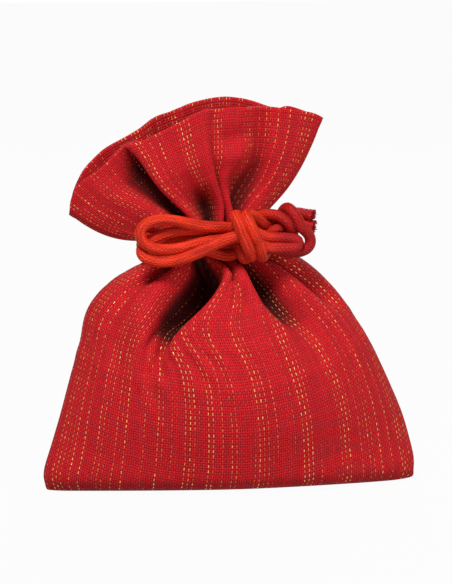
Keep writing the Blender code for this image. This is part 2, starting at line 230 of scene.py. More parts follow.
# Lines of cloth that run up the bag, from the left seam to the right one: crests and hollows by turns, with a
# wall between some. At each place along a line: millimetres above the tie (below it when negative), share
# across, and millimetres in from the smooth shape. A crest with a smaller share than the hollow before it
# overhangs it.
FRONT_LINES = (
    ((-50, 0.03, 0), (-20, 0.03, 0), (-6, 0.05, 0), (6, 0.05, 0), (47, 0.045, 0)),
    # soft fold left of the knot
    ((-45, 0.08, 0), (-30, 0.08, 0.5), (-20, 0.085, 1.0), (-12, 0.10, 1.7), (-5, 0.13, 3.2), (0, 0.13, 5.5),
     (6, 0.13, 5.5), (12, 0.10, 1.8), (18, 0.085, 0.2), (26, 0.08, 0), (47, 0.08, 0)),
    ((-60, 0.12, 0), (-34, 0.151, 0), (-27, 0.17, -0.6), (-16, 0.196, -0.8), (-5, 0.25, -0.4),
     (-1, 0.25, 0), (6, 0.22, 0), (12, 0.235, 0), (16, 0.24, 0), (25, 0.19, -0.3), (34, 0.137, -0.6),
     (47, 0.125, 0)),
    # the long wall, then the hollow of the large dark fold that runs down to the left and of the ruffle's own
    ((-50, 0.15, 0), (-37, 0.175, 0.3), (-31, 0.19, 1.9), (-25, 0.235, 5.2), (-18, 0.30, 8.4),
     (-13, 0.350, 9.0), (-8, 0.40, 8.5), (-4, 0.42, 6.5), (0, 0.33, 3.6), (6, 0.29, 3.3), (12, 0.30, 3.6),
     (16, 0.30, 5.6), (21, 0.275, 7.2), (29, 0.250, 7.2), (36, 0.235, 5.0), (43, 0.235, 1.8),
     (47, 0.235, 0.8)),
    ((-50, 0.18, 0), (-40, 0.19, 0.3), (-33, 0.220, 2.0), (-25, 0.300, 7.8), (-18, 0.385, 12.0),
     (-13, 0.455, 12.8), (-8, 0.51, 12.4), (-4, 0.50, 10.5), (-1, 0.43, 7.6), (3, 0.36, 6.2),
     (6, 0.345, 6.2), (12, 0.37, 7.0), (16, 0.385, 8.6), (21, 0.370, 9.8), (29, 0.350, 10.4),
     (36, 0.335, 8.8), (43, 0.312, 4.6), (47, 0.305, 2.6)),
    ((-50, 0.23, 0), (-40, 0.24, 0), (-31, 0.265, -0.3), (-27, 0.295, -0.6), (-23, 0.345, -1),
     (-18, 0.425, -1), (-13, 0.50, -1), (-7, 0.565, -0.8), (-3, 0.53, 0), (0, 0.46, 0), (6, 0.42, 0),
     (12, 0.42, 0), (14, 0.405, 0), (19, 0.36, -0.2), (28, 0.312, -0.7), (42, 0.288, -0.7),
     (47, 0.276, -0.2)),
    # the hollow under the ruffle's middle panel
    ((-14, 0.59, 0), (-8, 0.59, 0.4), (-3, 0.57, 3.6), (0, 0.56, 5.8), (6, 0.568, 7.6), (12, 0.578, 8.8),
     (15, 0.572, 8.2), (18, 0.545, 6.0), (24, 0.49, 2.2), (32, 0.45, 0.5), (47, 0.44, 0.2)),
    ((-50, 0.73, 0), (-32, 0.70, 0), (-25, 0.665, -0.3), (-18, 0.640, -0.5), (-12, 0.640, -0.8),
     (-7, 0.655, -0.5), (-2, 0.62, 0), (6, 0.62, 0), (14, 0.652, 0), (20, 0.634, -0.4), (24, 0.622, -0.7),
     (35, 0.617, -1.0), (47, 0.636, -1.0)),
    # the fold right of the middle panel, and the narrow one above the knot
    ((-50, 0.80, 0), (-38, 0.80, 0.6), (-32, 0.785, 1.8), (-25, 0.752, 4.2), (-18, 0.718, 7.2),
     (-12, 0.700, 9.6), (-7, 0.702, 10.5), (-3, 0.70, 8.5), (0, 0.69, 6.2), (6, 0.675, 6.2),
     (13, 0.672, 6.2), (17, 0.663, 5.2), (23, 0.648, 3.8), (31, 0.645, 2.4), (40, 0.665, 1.5),
     (47, 0.68, 0.8)),
    ((-50, 0.96, 0), (-39, 0.945, 0), (-28, 0.895, 0), (-19, 0.858, -0.5), (-11, 0.845, -0.5),
     (-5, 0.82, 0), (0, 0.79, 0), (6, 0.745, 0), (13, 0.712, 0), (17, 0.69, 0.4), (21, 0.68, 1.0),
     (26, 0.70, 0.9), (30, 0.722, -0.4), (36, 0.73, 1.6), (41, 0.72, 0.3), (47, 0.74, 1.0)),
    # the hollow at the right of the ruffle, in two lines, which below the tie are the right side's fold
    ((-50, 0.97, 0), (-35, 0.96, 0), (-27, 0.925, 0.9), (-18, 0.882, 1.4), (-14, 0.872, 2.2),
     (-8, 0.865, 3.3), (0, 0.84, 3.3), (6, 0.79, 4.4), (14, 0.745, 6.4), (18, 0.742, 5.8), (23, 0.742, 3.8),
     (28, 0.765, 1.0), (32, 0.775, 0.4), (37, 0.775, 2.2), (42, 0.77, 0.9), (47, 0.78, 1.4)),
    ((-50, 0.98, 0), (-35, 0.975, 0), (-27, 0.948, 2.2), (-18, 0.905, 3.6), (-14, 0.893, 4.2),
     (-8, 0.89, 4.8), (0, 0.885, 6), (6, 0.85, 6), (12, 0.82, 6.2), (16, 0.842, 6.6), (22, 0.866, 6.0),
     (31, 0.845, 4.0), (38, 0.827, 3.2), (47, 0.812, 1.8)),
    ((-50, 0.99, 0), (-30, 0.985, 0), (-20, 0.965, 0), (-14, 0.95, 0), (-5, 0.94, 0), (0, 0.94, 0),
     (6, 0.92, 0), (12, 0.88, 0), (17, 0.90, 0), (20, 0.908, -0.3), (28, 0.897, -0.9), (36, 0.884, -1.1),
     (47, 0.868, -1.0)),
)
BACK_LINES = (
    ((-60, 0.04, 0), (6, 0.06, 0), (47, 0.06, 0)),
    ((-36, 0.08, 0), (-22, 0.10, 2), (-8, 0.14, 4.5), (4, 0.15, 6), (16, 0.14, 4.5), (47, 0.13, 1)),
    ((-60, 0.20, 0), (-22, 0.19, 0), (-6, 0.235, 0), (6, 0.235, 0), (16, 0.22, -0.3), (47, 0.24, -0.5)),
    ((-56, 0.25, 0), (-36, 0.28, 2.5), (-20, 0.32, 6), (-6, 0.335, 7), (4, 0.33, 6.5), (16, 0.345, 6),
     (30, 0.36, 4), (47, 0.37, 1.5)),
    ((-60, 0.40, 0), (-20, 0.41, 0), (0, 0.42, 0), (16, 0.44, -0.3), (47, 0.47, -0.6)),
    ((-32, 0.47, 0), (-20, 0.49, 3), (-6, 0.50, 6), (4, 0.50, 6.5), (16, 0.53, 4.5), (47, 0.56, 1)),
    ((-60, 0.60, 0), (-20, 0.58, 0), (0, 0.585, 0), (16, 0.615, -0.3), (47, 0.64, -0.5)),
    ((-58, 0.76, 0), (-38, 0.71, 2.5), (-20, 0.67, 6.5), (-6, 0.67, 7.5), (4, 0.68, 6.5), (16, 0.70, 6),
     (30, 0.715, 4.5), (47, 0.72, 2)),
    ((-60, 0.86, 0), (-20, 0.79, 0), (0, 0.775, 0), (16, 0.79, -0.3), (47, 0.81, -0.6)),
    ((-42, 0.94, 0), (-22, 0.90, 3), (-6, 0.86, 5.5), (4, 0.86, 6.5), (16, 0.875, 5), (47, 0.90, 1.5)),
    ((-60, 0.97, 0), (6, 0.94, 0), (47, 0.96, 0)),
)

# The photograph's view of the pouch
PHOTO_SCALE = 0.3 * MM  # for each of its pixels
PHOTO_ROWS = 584
PHOTO_MIDDLE_LEFT, PHOTO_MIDDLE_UP = 0.9, 57.6  # millimetres from the middle of the pouch's foot
CAMERA_AZIMUTH = math.radians(-12)
CAMERA_ELEVATION = math.radians(7)
CAMERA_DISTANCE = 1.0
SENSOR_WIDTH = 36

# The lamps: name, place and width
LAMPS = (
    ("key", (-0.45, -0.85, 1.15), 0.36),
    ("fill", (0.85, -0.85, 0.40), 0.7),
    ("back", (0.35, 1.1, 0.8), 0.7),
)
LAMPS_AIM = (0, 0, 0.05)
FLOOR_SIZE = 8
FLOOR_WHITE = 0.96  # share of plain white in what the camera sees of the floor


def colour_property(name, description, default):
    return FloatVectorProperty(
        name=name, description=description, default=default, subtype="COLOR", size=3, min=0.0, max=1.0
    )


def length_property(name, description, default):
    return FloatProperty(
        name=name, description=description, default=default, min=0.05 * MM, max=20 * MM,
        unit="LENGTH", precision=5,
    )


def power_property(name, default):
    return FloatProperty(
        name=name, description=name + " power", default=default, min=0.0, max=500.0, unit="POWER"
    )


class KINCHAKU_PG_cloth(PropertyGroup):
    """Sizes and colours of the cloth"""

    thickness: length_property("Thickness", "How thick the cloth is away from its turned-in rim", 0.6 * MM)
    warp_pitch: length_property("Warp pitch", "From one upright thread to the next", 0.70 * MM)
    weft_pitch: length_property("Weft pitch", "From one level thread to the next", 0.87 * MM)
    red: colour_property("Cloth red", "Colour of the cloth's cotton threads", (0.66, 0.011, 0.018))
    gold_deep: colour_property("Deep gold", "Darkest colour of the gold threads", (0.78, 0.30, 0.04))
    gold_pale: colour_property("Pale gold", "Lightest colour of the gold threads", (1.0, 0.62, 0.20))
    gold_level: FloatProperty(
        name="Gold threshold", description="A higher value leaves fewer gold threads", default=1.555,
        min=0.5, max=3.0,
    )
    # how dark the painted shade gets deep in the folds and down inside the ruffle
    deep_shade: FloatProperty(
        name="Fold shade", description="Share of its colour that the cloth keeps deep in its folds",
        default=0.12, min=0.0, max=1.0, subtype="FACTOR",
    )
    settling: IntProperty(
        name="Settling steps", description="How long the laid cloth is left to settle",
        default=400, min=0, max=2000,
    )


class KINCHAKU_PG_cord(PropertyGroup):
    """Sizes and colours of the drawcord"""

    drawn: length_property("Thickness", "Outside of the soft satin, a little over its diameter", 3.3 * MM)
    plait_across: length_property("Plait width", "Room that each plait takes round the cord", 1.18 * MM)
    plait_along: length_property("Plait length", "Room that each plait takes along the cord", 1.3 * MM)
    red: colour_property("Satin red", "Colour of the satin at the left loops", (0.82, 0.036, 0.007))
    # the crimson is the satin's own between the fibres, and painted shade from the bag over the right loops
    deep: colour_property("Satin crimson", "Colour of the satin at the right loops", (0.38, 0.003, 0.006))
    frayed: colour_property("Frayed red", "Colour of the loose fibres at the cut ends", (0.36, 0.006, 0.008))
    fibres: IntProperty(
        name="Loose fibres", description="How many loose fibres each cut end has",
        default=110, min=10, max=400,
    )


class KINCHAKU_PG_stage(PropertyGroup):
    """Light on the stage"""

    room: FloatProperty(
        name="Room light", description="Strength of the even light from all sides",
        default=0.14, min=0.0, max=2.0,
    )
    key: power_property("Key lamp", 18.5)
    fill: power_property("Fill lamp", 5.0)
    back: power_property("Back lamp", 6.0)
    floor: colour_property("Floor", "Colour of the floor under the shadow", (0.4, 0.4, 0.4))


def neck_centre():
    return Vector((NECK_OFFSET, 0, NECK_HEIGHT))


def neck_directions():
    """The neck's own right and up, which its tilt turns."""
    along = Vector((math.cos(NECK_TILT), 0, math.sin(NECK_TILT)))
    return along, Vector((-along.z, 0, along.x))


def neck_turn(side, first=205, last=-30, steps=7):
    """One turn of the cord round the back of the neck, from the front left. side is -1 below, 1 above."""
    reach = CORD_DIAMETER / 2 + CORD_GAP
    along, up = neck_directions()
    for i in range(steps):
        angle = math.radians(first + (last - first) * i / (steps - 1))
        place = neck_centre() + along * math.cos(angle) * (NECK_WIDTH / 2 + reach)
        deep = Vector((0, math.sin(angle) * (NECK_DEPTH / 2 + reach), 0))
        yield place + deep + up * side * CORD_DIAMETER / 2


def lengths_along(line):
    """How far along a line each of its points lies."""
    return np.concatenate(([0], np.cumsum(np.linalg.norm(np.diff(line, axis=0), axis=1))))


def read_at(places, run, table):
    """The rows of a table, which lie along a run, at other places between them."""
    return np.stack([np.interp(places, run, column) for column in table.T], 1)


def evenly(line, spacing):
    """The same line with evenly spaced points."""
    run = lengths_along(line)
    return read_at(np.linspace(0, run[-1], round(run[-1] / spacing) + 1), run, line)


def evened(rows, rounds, kept=0.5):
    """Moves each row of a table between its first and last towards its neighbours. kept is its own share."""
    for _ in range(rounds):
        rows[1:-1] = rows[1:-1] * kept + (rows[:-2] + rows[2:]) * ((1 - kept) / 2)
    return rows


def smooth_curve(points, spacing):
    """Evenly spaced points on a smooth curve through the given ones (Catmull-Rom, centripetal)."""
    knots = [points[0] * 2 - points[1], *points, points[-1] * 2 - points[-2]]
    dense = []
    for before, start, end, after in zip(knots, knots[1:], knots[2:], knots[3:]):
        gaps = [math.sqrt((b - a).length) for a, b in ((before, start), (start, end), (end, after))]
        t1 = gaps[0]
        t2 = t1 + gaps[1]
        t3 = t2 + gaps[2]
        for i in range(CURVE_STEPS):
            t = t1 + (t2 - t1) * i / CURVE_STEPS
            a1 = before * ((t1 - t) / t1) + start * (t / t1)
            a2 = start * ((t2 - t) / (t2 - t1)) + end * ((t - t1) / (t2 - t1))
            a3 = end * ((t3 - t) / (t3 - t2)) + after * ((t - t2) / (t3 - t2))
            b1 = a1 * ((t2 - t) / t2) + a2 * (t / t2)
            b2 = a2 * ((t3 - t) / (t3 - t1)) + a3 * ((t - t1) / (t3 - t1))
            dense.append(b1 * ((t2 - t) / (t2 - t1)) + b2 * ((t - t1) / (t2 - t1)))
    dense.append(points[-1])
    return evenly(np.array(dense), spacing)


def settle(line, spacing, pitch, blocker, keep_out):
    """Moves a cord's line off itself and off the bag where it is too near, and keeps its shape elsewhere."""
    seed = line.copy()
    index = np.arange(len(line))
    near = int(1.5 * pitch / spacing)
    beside = np.abs(index[:, None] - index[None, :]) <= near
    for turn in range(SETTLE_ROUNDS):
        # what has moved stays smooth, and goes slowly back to the drawn route
        line = seed + evened(line - seed, 3, 0.4) * 0.998
        # bends are softened in the last rounds
        if turn > SETTLE_ROUNDS * 0.6:
            bend = (line[:-2] + line[2:]) / 2 - line[1:-1]
            line[1:-1] += bend * 0.12
        # turns that lie nearer than the cord is thick push each other away, and so does the bag
        gap = line[:, None, :] - line[None, :, :]
        away = np.linalg.norm(gap, axis=2)
        away[beside] = 1
        push = np.clip(pitch - away, 0, None) / away
        line = line + (gap * push[:, :, None]).sum(1) * 0.3
        for i, place in enumerate(line):
            spot, normal, _, distance = blocker.find_nearest(Vector(place))
            outside = (Vector(place) - spot).dot(normal) > 0
            depth = keep_out - (distance if outside else -distance)
            if depth > 0:
                line[i] += np.array(normal) * depth * 0.5
    return line


@functools.lru_cache(maxsize=1)
def cord_line():
    """The cord's middle line, from cut end to cut end."""
    outer, inner, fold = (
        [neck_centre() + Vector(point) * MM for point in part] for part in (OUTER_HALF, INNER_HALF, FOLD)
    )
    route = outer + list(neck_turn(-1)) + fold + list(neck_turn(1))[::-1] + inner[::-1]
    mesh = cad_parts["pouch"].data
    blocker = BVHTree.FromPolygons([v.co for v in mesh.vertices], [tuple(p.vertices) for p in mesh.polygons])
    line = smooth_curve(route, CORD_STEP)
    return settle(line, CORD_STEP, CORD_DIAMETER, blocker, CORD_DIAMETER / 2 + CORD_GAP + CORD_SLACK)


def curve_points(line, spacing):
    """A smooth curve through a settled line."""
    return smooth_curve([Vector(point) for point in evened(line.copy(), 2)], spacing)


def on_knot(line):
    """How far each point of the cord lies over the front of the knot, from 0 to 1."""
    return np.clip((-line[:, 1] / MM - KNOT_FRONT) / KNOT_BLEND, 0, 1)


@functools.lru_cache(maxsize=1)
def drawn_line():
    """The middle line of the satin, whose two turns over the front of the knot are drawn together."""
    line = curve_points(cord_line(), CORD_CELL)
    index = np.arange(len(line))
    away = np.linalg.norm(line[:, None] - line[None], axis=2)
    # neither the point's own turn nor a turn off the knot counts as near
    away[np.abs(index[:, None] - index[None]) < BESIDE] = 1
    away[:, on_knot(line) < 0.3] = 1
    near = away.argmin(1)
    share = np.where(line[near, 0] < line[:, 0], PULL_LEFT, PULL_RIGHT) * (away[index, near] < KNOT_REACH)
    return line + evened((line[near] - line) * (share * on_knot(line))[:, None], 6)


def carried_frames(line):
    """For each point of a line, its direction and two directions across that turn as little as they can."""
    along = np.gradient(line, axis=0)
    along /= np.linalg.norm(along, axis=1)[:, None]
    side = np.cross(along[0], (0, 0, 1.0))
    side /= np.linalg.norm(side)
    sides = []
    for direction in along:
        side = side - direction * side.dot(direction)
        side = side / np.linalg.norm(side)
        sides.append(side)
    sides = np.array(sides)
    return along, sides, np.cross(along, sides)


def net_of_cells(index, up, width):
    """Faces and their corners' UV pairs, for rows of points that close round. up is each row's V."""
    faces, uvs = [], []
    rows, around = index.shape
    for i in range(rows - 1):
        for j in range(around):
            k = (j + 1) % around
            faces.append((index[i, j], index[i, k], index[i + 1, k], index[i + 1, j]))
            uvs += [((j + right) * width, up[i + above]) for right, above in ((0, 0), (1, 0), (1, 1), (0, 1))]
    return faces, uvs


def mesh_object(name, points, faces, uvs):
    """A smooth mesh object at the origin. uvs holds one pair for each corner of each face, in metres."""
    mesh = bpy.data.meshes.new(name)
    mesh.from_pydata([tuple(p) for p in points], [], [tuple(f) for f in faces])
    layer = mesh.uv_layers.new(name="cloth")
    layer.data.foreach_set("uv", np.asarray(uvs, dtype=np.float32).ravel())
    mesh.shade_smooth()
    thing = bpy.data.objects.new(name, mesh)
    bpy.context.scene.collection.objects.link(thing)
    return thing


def set_point_values(mesh, name, values):
    """Keeps one value for each point of a mesh, for a material to read by its name."""
    mesh.attributes.new(name, "FLOAT", "POINT").data.foreach_set("value", values)


def apply_modifier(thing, modifier):
    bpy.ops.object.select_all(action="DESELECT")
    thing.select_set(True)
    bpy.context.view_layer.objects.active = thing
    bpy.ops.object.modifier_apply(modifier=modifier.name)


class Wiring:
    """Adds nodes to a node tree. A value that is a socket is linked, and any other is set on the input."""

    def __init__(self, tree):
        self.tree = tree

    def give(self, socket, value):
        if isinstance(value, bpy.types.NodeSocket):
            self.link(value, socket)
        else:
            socket.default_value = value

    def link(self, start, end):
        self.tree.links.new(start, end)

    def add(self, kind, values=(), **settings):
        node = self.tree.nodes.new("ShaderNode" + kind)
        for name, setting in settings.items():
            setattr(node, name, setting)
        for name, value in dict(values).items():
            self.give(node.inputs[name], value)
        return node

    def math(self, operation, *values):
        return self.add("Math", enumerate(values), operation=operation).outputs[0]

    plus = functools.partialmethod(math, "ADD")
    minus = functools.partialmethod(math, "SUBTRACT")
    times = functools.partialmethod(math, "MULTIPLY")
    scaled = functools.partialmethod(math, "MULTIPLY_ADD")  # value, factor, and what is added then
    absolute = functools.partialmethod(math, "ABSOLUTE")

    def ramp(self, value, low, high, to_low=0.0, to_high=1.0, kind="SMOOTHSTEP"):
        values = {"Value": value, "From Min": low, "From Max": high, "To Min": to_low, "To Max": to_high}
        return self.add("MapRange", values, interpolation_type=kind).outputs[0]

    def mix(self, share, first, second):
        node = self.add("Mix", data_type="RGBA")
        sockets = {socket.identifier: socket for socket in (*node.inputs, *node.outputs)}
        for name, value in (("Factor_Float", share), ("A_Color", first), ("B_Color", second)):
            self.give(sockets[name], value)
        return sockets["Result_Color"]

    def pair(self, x, y):
        return self.add("CombineXYZ", {"X": x, "Y": y}).outputs[0]

    def parts(self, vector):
        return self.add("SeparateXYZ", {"Vector": vector}).outputs

    def threads(self):
        """Metres across and along the piece's threads, from its UV map."""
        return self.add("UVMap", uv_map="cloth").outputs["UV"]

    def place(self):
        return self.parts(self.add("TexCoord").outputs["Object"])

    def noise(self, values, **settings):
        return self.add("TexNoise", values, **settings).outputs["Fac"]

    def chance(self, number, second=None):
        """A random value from 0 to 1 for each number, or for each pair of numbers."""
        if second is None:
            values, count = {"W": number}, "1D"
        else:
            values, count = {"Vector": self.pair(number, second)}, "2D"
        return self.add("TexWhiteNoise", values, noise_dimensions=count).outputs["Value"]

    def bump(self, height, distance):
        return self.add("Bump", {"Height": height, "Strength": 0.9, "Distance": distance}).outputs[0]

    def group(self, name, values):
        """Places one of the shared node groups, which is built when it is first asked for."""
        tree = bpy.data.node_groups.get(name) or GROUPS[name](name)
        return self.add("Group", values, node_tree=tree).outputs


def new_group(name, inputs, outputs):
    """An empty node group, with its wiring, its input sockets and its output node."""
    group = bpy.data.node_groups.new(name, "ShaderNodeTree")
    for way, sockets in (("INPUT", inputs), ("OUTPUT", outputs)):
        for label, kind, default in sockets:
            socket = group.interface.new_socket(name=label, in_out=way, socket_type="NodeSocket" + kind)
            if default is not None:
                socket.default_value = default
    start, end = (group.nodes.new("NodeGroup" + end) for end in ("Input", "Output"))
    return group, Wiring(group), start.outputs, end.inputs


def fibre_group(name):
    """Fine fibres that run along V: a shade and a height."""
    group, w, given, result = new_group(
        name,
        (("UV", "Vector", None), ("Across", "Float", 9000.0), ("Along", "Float", 700.0),
         ("Contrast", "Float", 0.2)),
        (("Shade", "Float", None), ("Height", "Float", None)),
    )
    place = w.parts(given["UV"])
    stretched = w.pair(w.times(place[0], given["Across"]), w.times(place[1], given["Along"]))
    fibres = w.noise({"Vector": stretched, "Scale": 1.0, "Detail": 2.0, "Roughness": 0.6})
    w.link(w.scaled(w.times(w.minus(fibres, 0.5), given["Contrast"]), 2.0, 1.0), result["Shade"])
    w.link(fibres, result["Height"])
    return group


def weave_group(name):
    """A plain weave on UV in metres: thread heights, the holes between threads, and each thread's number."""
    group, w, given, result = new_group(
        name,
        (("UV", "Vector", None), ("Warp Pitch", "Float", 0.0014), ("Weft Pitch", "Float", 0.00093)),
        (("Height", "Float", None), ("Hole", "Float", None), ("Warp Over", "Float", None),
         ("Warp Number", "Float", None), ("Weft Number", "Float", None), ("Off Warp", "Float", None)),
    )
    place = w.parts(given["UV"])
    wobble = w.noise({"Vector": given["UV"], "Scale": 220.0, "Detail": 1.0})
    wobble = w.times(w.minus(wobble, 0.5), 0.7)
    across = w.plus(w.math("DIVIDE", place[0], given["Warp Pitch"]), wobble)
    along = w.plus(w.math("DIVIDE", place[1], given["Weft Pitch"]), wobble)
    warp, weft = (w.math("ROUND", v) for v in (across, along))
    off_warp, off_weft = w.minus(across, warp), w.minus(along, weft)

    def thread(off, width, run, number):
        """How high a thread's round back rises here, and how far the thread runs over or under the others."""
        squared = w.math("POWER", w.math("DIVIDE", w.absolute(off), width), 2.0)
        return w.minus(1.0, squared), w.times(w.math("COSINE", w.times(w.plus(run, number), math.pi)), 0.3)

    warp_height = w.plus(*thread(off_warp, 0.43, along, warp))
    weft_height = w.minus(*thread(off_weft, 0.45, across, weft))
    hole = w.times(w.ramp(w.absolute(off_warp), 0.20, 0.46), w.ramp(w.absolute(off_weft), 0.24, 0.48))
    for name, value in (
        ("Height", w.math("MAXIMUM", warp_height, weft_height)),
        ("Hole", hole),
        ("Warp Over", w.ramp(w.minus(warp_height, weft_height), -0.2, 0.2)),
        ("Warp Number", warp),
        ("Weft Number", weft),
        ("Off Warp", off_warp),
    ):
        w.link(value, result[name])
    return group


GROUPS = {"fine fibres": fibre_group, "plain weave": weave_group}


def new_material(name, values):
    """A material with the given values on its shader, its wiring and its shader's inputs."""
    material = bpy.data.materials.new(name)
    material.use_nodes = True
    shader = material.node_tree.nodes["Principled BSDF"].inputs
    for label, value in values.items():
        shader[label].default_value = value
    return material, Wiring(material.node_tree), shader


def cloth_material(cloth):
    """Red cloth in a plain weave, with gold threads that run along the warp in broken lines."""
    material, w, shader = new_material("gold-flecked red cloth", {
        "Specular IOR Level": 0.2, "Sheen Weight": 0.03, "Sheen Roughness": 0.5,
        "Sheen Tint": (1.0, 0.45, 0.4, 1),
    })
    uv = w.threads()
    place = w.parts(uv)
    weave = w.group("plain weave", {"UV": uv, "Warp Pitch": cloth.warp_pitch, "Weft Pitch": cloth.weft_pitch})
    fibre = w.group("fine fibres", {"UV": uv, "Across": 5200.0, "Along": 2600.0, "Contrast": 0.22})

    # each thread, and each crossing of two, has a tone of its own
    warp_tone = w.chance(weave["Warp Number"])
    weft_tone = w.chance(w.plus(weave["Weft Number"], 0.37))
    tones = {"Factor": weave["Warp Over"], "A": weft_tone, "B": warp_tone}
    tone = w.add("Mix", tones, data_type="FLOAT").outputs[0]
    crossing = w.chance(weave["Warp Number"], weave["Weft Number"])
    hollow, inside = (w.add("Attribute", attribute_name=name).outputs["Fac"] for name in ("hollow", "inside"))
    widths = w.math("DIVIDE", place[0], FLAT_WIDTH)
    seam = w.ramp(w.absolute(w.minus(widths, w.math("ROUND", widths))), 0.0, 0.0045, 1.0, 0.0)
    shade = w.plus(w.scaled(tone, 0.24, 0.80), w.times(crossing, 0.16))
    # then the weave and the seams, and painted shade in the folds, inside the ruffle and near the floor
    for factor in (
        fibre["Shade"],
        w.ramp(weave["Height"], 0.5, 1.25, 0.86, 1.04),  # beside the threads' backs
        w.scaled(weave["Warp Over"], 0.30, 0.82),  # where the weft lies on top
        w.scaled(weave["Hole"], -0.80, 1.0),
        w.ramp(hollow, 1.2, 7.5, 1.0, cloth.deep_shade),  # painted shade deep in a fold
        w.ramp(inside, 2.5, 11.0, 1.0, cloth.deep_shade),  # painted shade down inside the ruffle
        w.ramp(w.place()["Z"], 0.0, 7 * MM, 0.80, 1.0),  # painted shade near the floor
        w.scaled(seam, -0.55, 1.0),
    ):
        shade = w.times(shade, factor)
    red = w.add("HueSaturation", {"Color": (*cloth.red, 1), "Value": shade}).outputs["Color"]

    # gold: every second warp thread may carry it, in runs that start and stop, as dashes between crossings
    line = w.math("ROUND", w.times(weave["Warp Number"], 0.5))
    on_line = w.math("LESS_THAN", w.absolute(w.minus(weave["Warp Number"], w.times(line, 2.0))), 0.5)
    cluster = w.noise({"W": w.times(line, 0.23), "Scale": 1.0, "Detail": 1.0}, noise_dimensions="1D")
    single = w.chance(w.plus(line, 11.3))
    run_place = w.pair(w.times(line, 5.7), w.times(place[1], 26.0))
    run = w.noise({"Vector": run_place, "Scale": 1.0, "Detail": 2.0}, noise_dimensions="2D")
    richness = w.plus(w.plus(w.times(cluster, 0.7), single), w.times(run, 1.1))
    level = cloth.gold_level
    rich = w.ramp(richness, level, level + 0.08, 0.0, 0.56)
    sparse = w.ramp(richness, level - 0.30, level - 0.14, 0.0, 0.42)
    present = w.times(w.plus(rich, sparse), on_line)
    dash_place = w.plus(w.times(place[1], 0.5 / cloth.weft_pitch), w.times(single, 0.16))
    dash_number = w.math("ROUND", dash_place)
    off_dash = w.absolute(w.minus(dash_place, dash_number))
    dash = w.times(w.ramp(off_dash, 0.27, 0.19), w.ramp(w.absolute(weave["Off Warp"]), 0.28, 0.12))
    sparkle = w.chance(line, dash_number)
    glint = w.ramp(sparkle, 0.0, 0.75, 0.15, 1.0, kind="LINEAR")
    gold = w.times(w.times(dash, present), glint)
    gold_colour = w.mix(sparkle, (*cloth.gold_deep, 1), (*cloth.gold_pale, 1))

    w.link(w.mix(gold, red, gold_colour), shader["Base Color"])
    w.link(w.times(gold, 0.55), shader["Metallic"])
    w.link(w.scaled(gold, -0.42, 0.78), shader["Roughness"])
    height = w.minus(w.plus(weave["Height"], w.times(fibre["Height"], 0.35)), w.times(seam, 1.5))
    w.link(w.bump(height, 0.16 * MM), shader["Normal"])
    return material


def satin_material(cord):
    """Braided satin: fine glossy fibres in slanting plaits round the cord."""
    material, w, shader = new_material("red satin", {
        "Specular IOR Level": 0.22, "Sheen Weight": 0.10, "Sheen Roughness": 0.35,
        "Sheen Tint": (1.0, 0.42, 0.18, 1),
    })
    uv = w.threads()
    place = w.parts(uv)
    fibre = w.group("fine fibres", {"UV": uv, "Across": 3000.0, "Along": 80.0, "Contrast": 0.55})
    across = w.times(place[0], 2 * math.pi / cord.plait_across)
    along = w.times(place[1], 2 * math.pi / cord.plait_along)
    slants = w.plus(along, across), w.minus(along, across)
    plait = w.math("MAXIMUM", *(w.math("SINE", slant) for slant in slants))
    soft = w.noise({"Vector": uv, "Scale": 260.0, "Detail": 2.0})
    shade = w.times(fibre["Shade"], w.ramp(plait, -0.6, 0.9, 0.91, 1.03))
    shade = w.times(shade, w.ramp(soft, 0.3, 0.7, 0.90, 1.08))
    # crimson between the fibres, which is the satin's own, and crimson all over at the right as painted shade
    # from the bag
    clear_of_painted_shade = w.ramp(w.place()["X"], 3 * MM, 14 * MM, 1.0, 0.1)
    bright = w.times(w.ramp(fibre["Height"], 0.34, 0.59, 0.32, 1.0), clear_of_painted_shade)
    red = w.mix(bright, (*cord.deep, 1), (*cord.red, 1))
    w.link(w.add("HueSaturation", {"Color": red, "Value": shade}).outputs["Color"], shader["Base Color"])
    w.link(w.ramp(fibre["Height"], 0.3, 0.7, 0.62, 0.42), shader["Roughness"])
    w.link(w.bump(w.plus(plait, w.times(fibre["Height"], 1.2)), 0.09 * MM), shader["Normal"])
    return material


def frayed_material(cord):
    """Loose satin fibres, which are duller and darker than the plaited ones."""
    material, w, shader = new_material("frayed red satin", {"Roughness": 0.7, "Specular IOR Level": 0.2})
    fibre = w.group("fine fibres", {"UV": w.threads(), "Across": 2600.0, "Along": 400.0, "Contrast": 0.8})
    colour = w.add("HueSaturation", {"Color": (*cord.frayed, 1), "Value": fibre["Shade"]}).outputs["Color"]
    w.link(colour, shader["Base Color"])
    return material


def spline(keys, places):
    """Smooth values at places from keys of (place, value), without overshoot (monotone cubic)."""
    x, y = np.array(keys, float).T
    step = np.diff(x)
    slope = np.diff(y) / step
    tangent = np.zeros(len(x))
    tangent[0], tangent[-1] = slope[0], slope[-1]
    same = slope[:-1] * slope[1:] > 0
    mean = 2 * slope[:-1] * slope[1:] / np.where(same, slope[:-1] + slope[1:], 1)
    tangent[1:-1] = np.where(same, mean, 0)
    at = np.clip(places, x[0], x[-1])
    i = np.clip(np.searchsorted(x, at) - 1, 0, len(step) - 1)
    t = (at - x[i]) / step[i]
    return (
        y[i] * (1 + 2 * t) * (1 - t) ** 2 + y[i + 1] * t * t * (3 - 2 * t)
        + step[i] * (tangent[i] * t * (1 - t) ** 2 - tangent[i + 1] * t * t * (1 - t))
    )


def straight(left, right):
    """The middle line of a section between its two ends, for shares of the way across."""
    return lambda share: left + (right - left) * share[:, None]


def half_section(middle, half_depth, point, side):
    """One half of a section, front (side -1) or back (side 1), round its middle line."""
    angle = np.linspace(math.pi, 0, SAMPLES)
    across = np.sign(np.cos(angle)) * np.abs(np.cos(angle)) ** (2 / point)
    deep = side * np.abs(np.sin(angle)) ** (2 / point)
    return middle((across + 1) / 2) + np.stack([np.zeros(SAMPLES), half_depth * deep, np.zeros(SAMPLES)], 1)


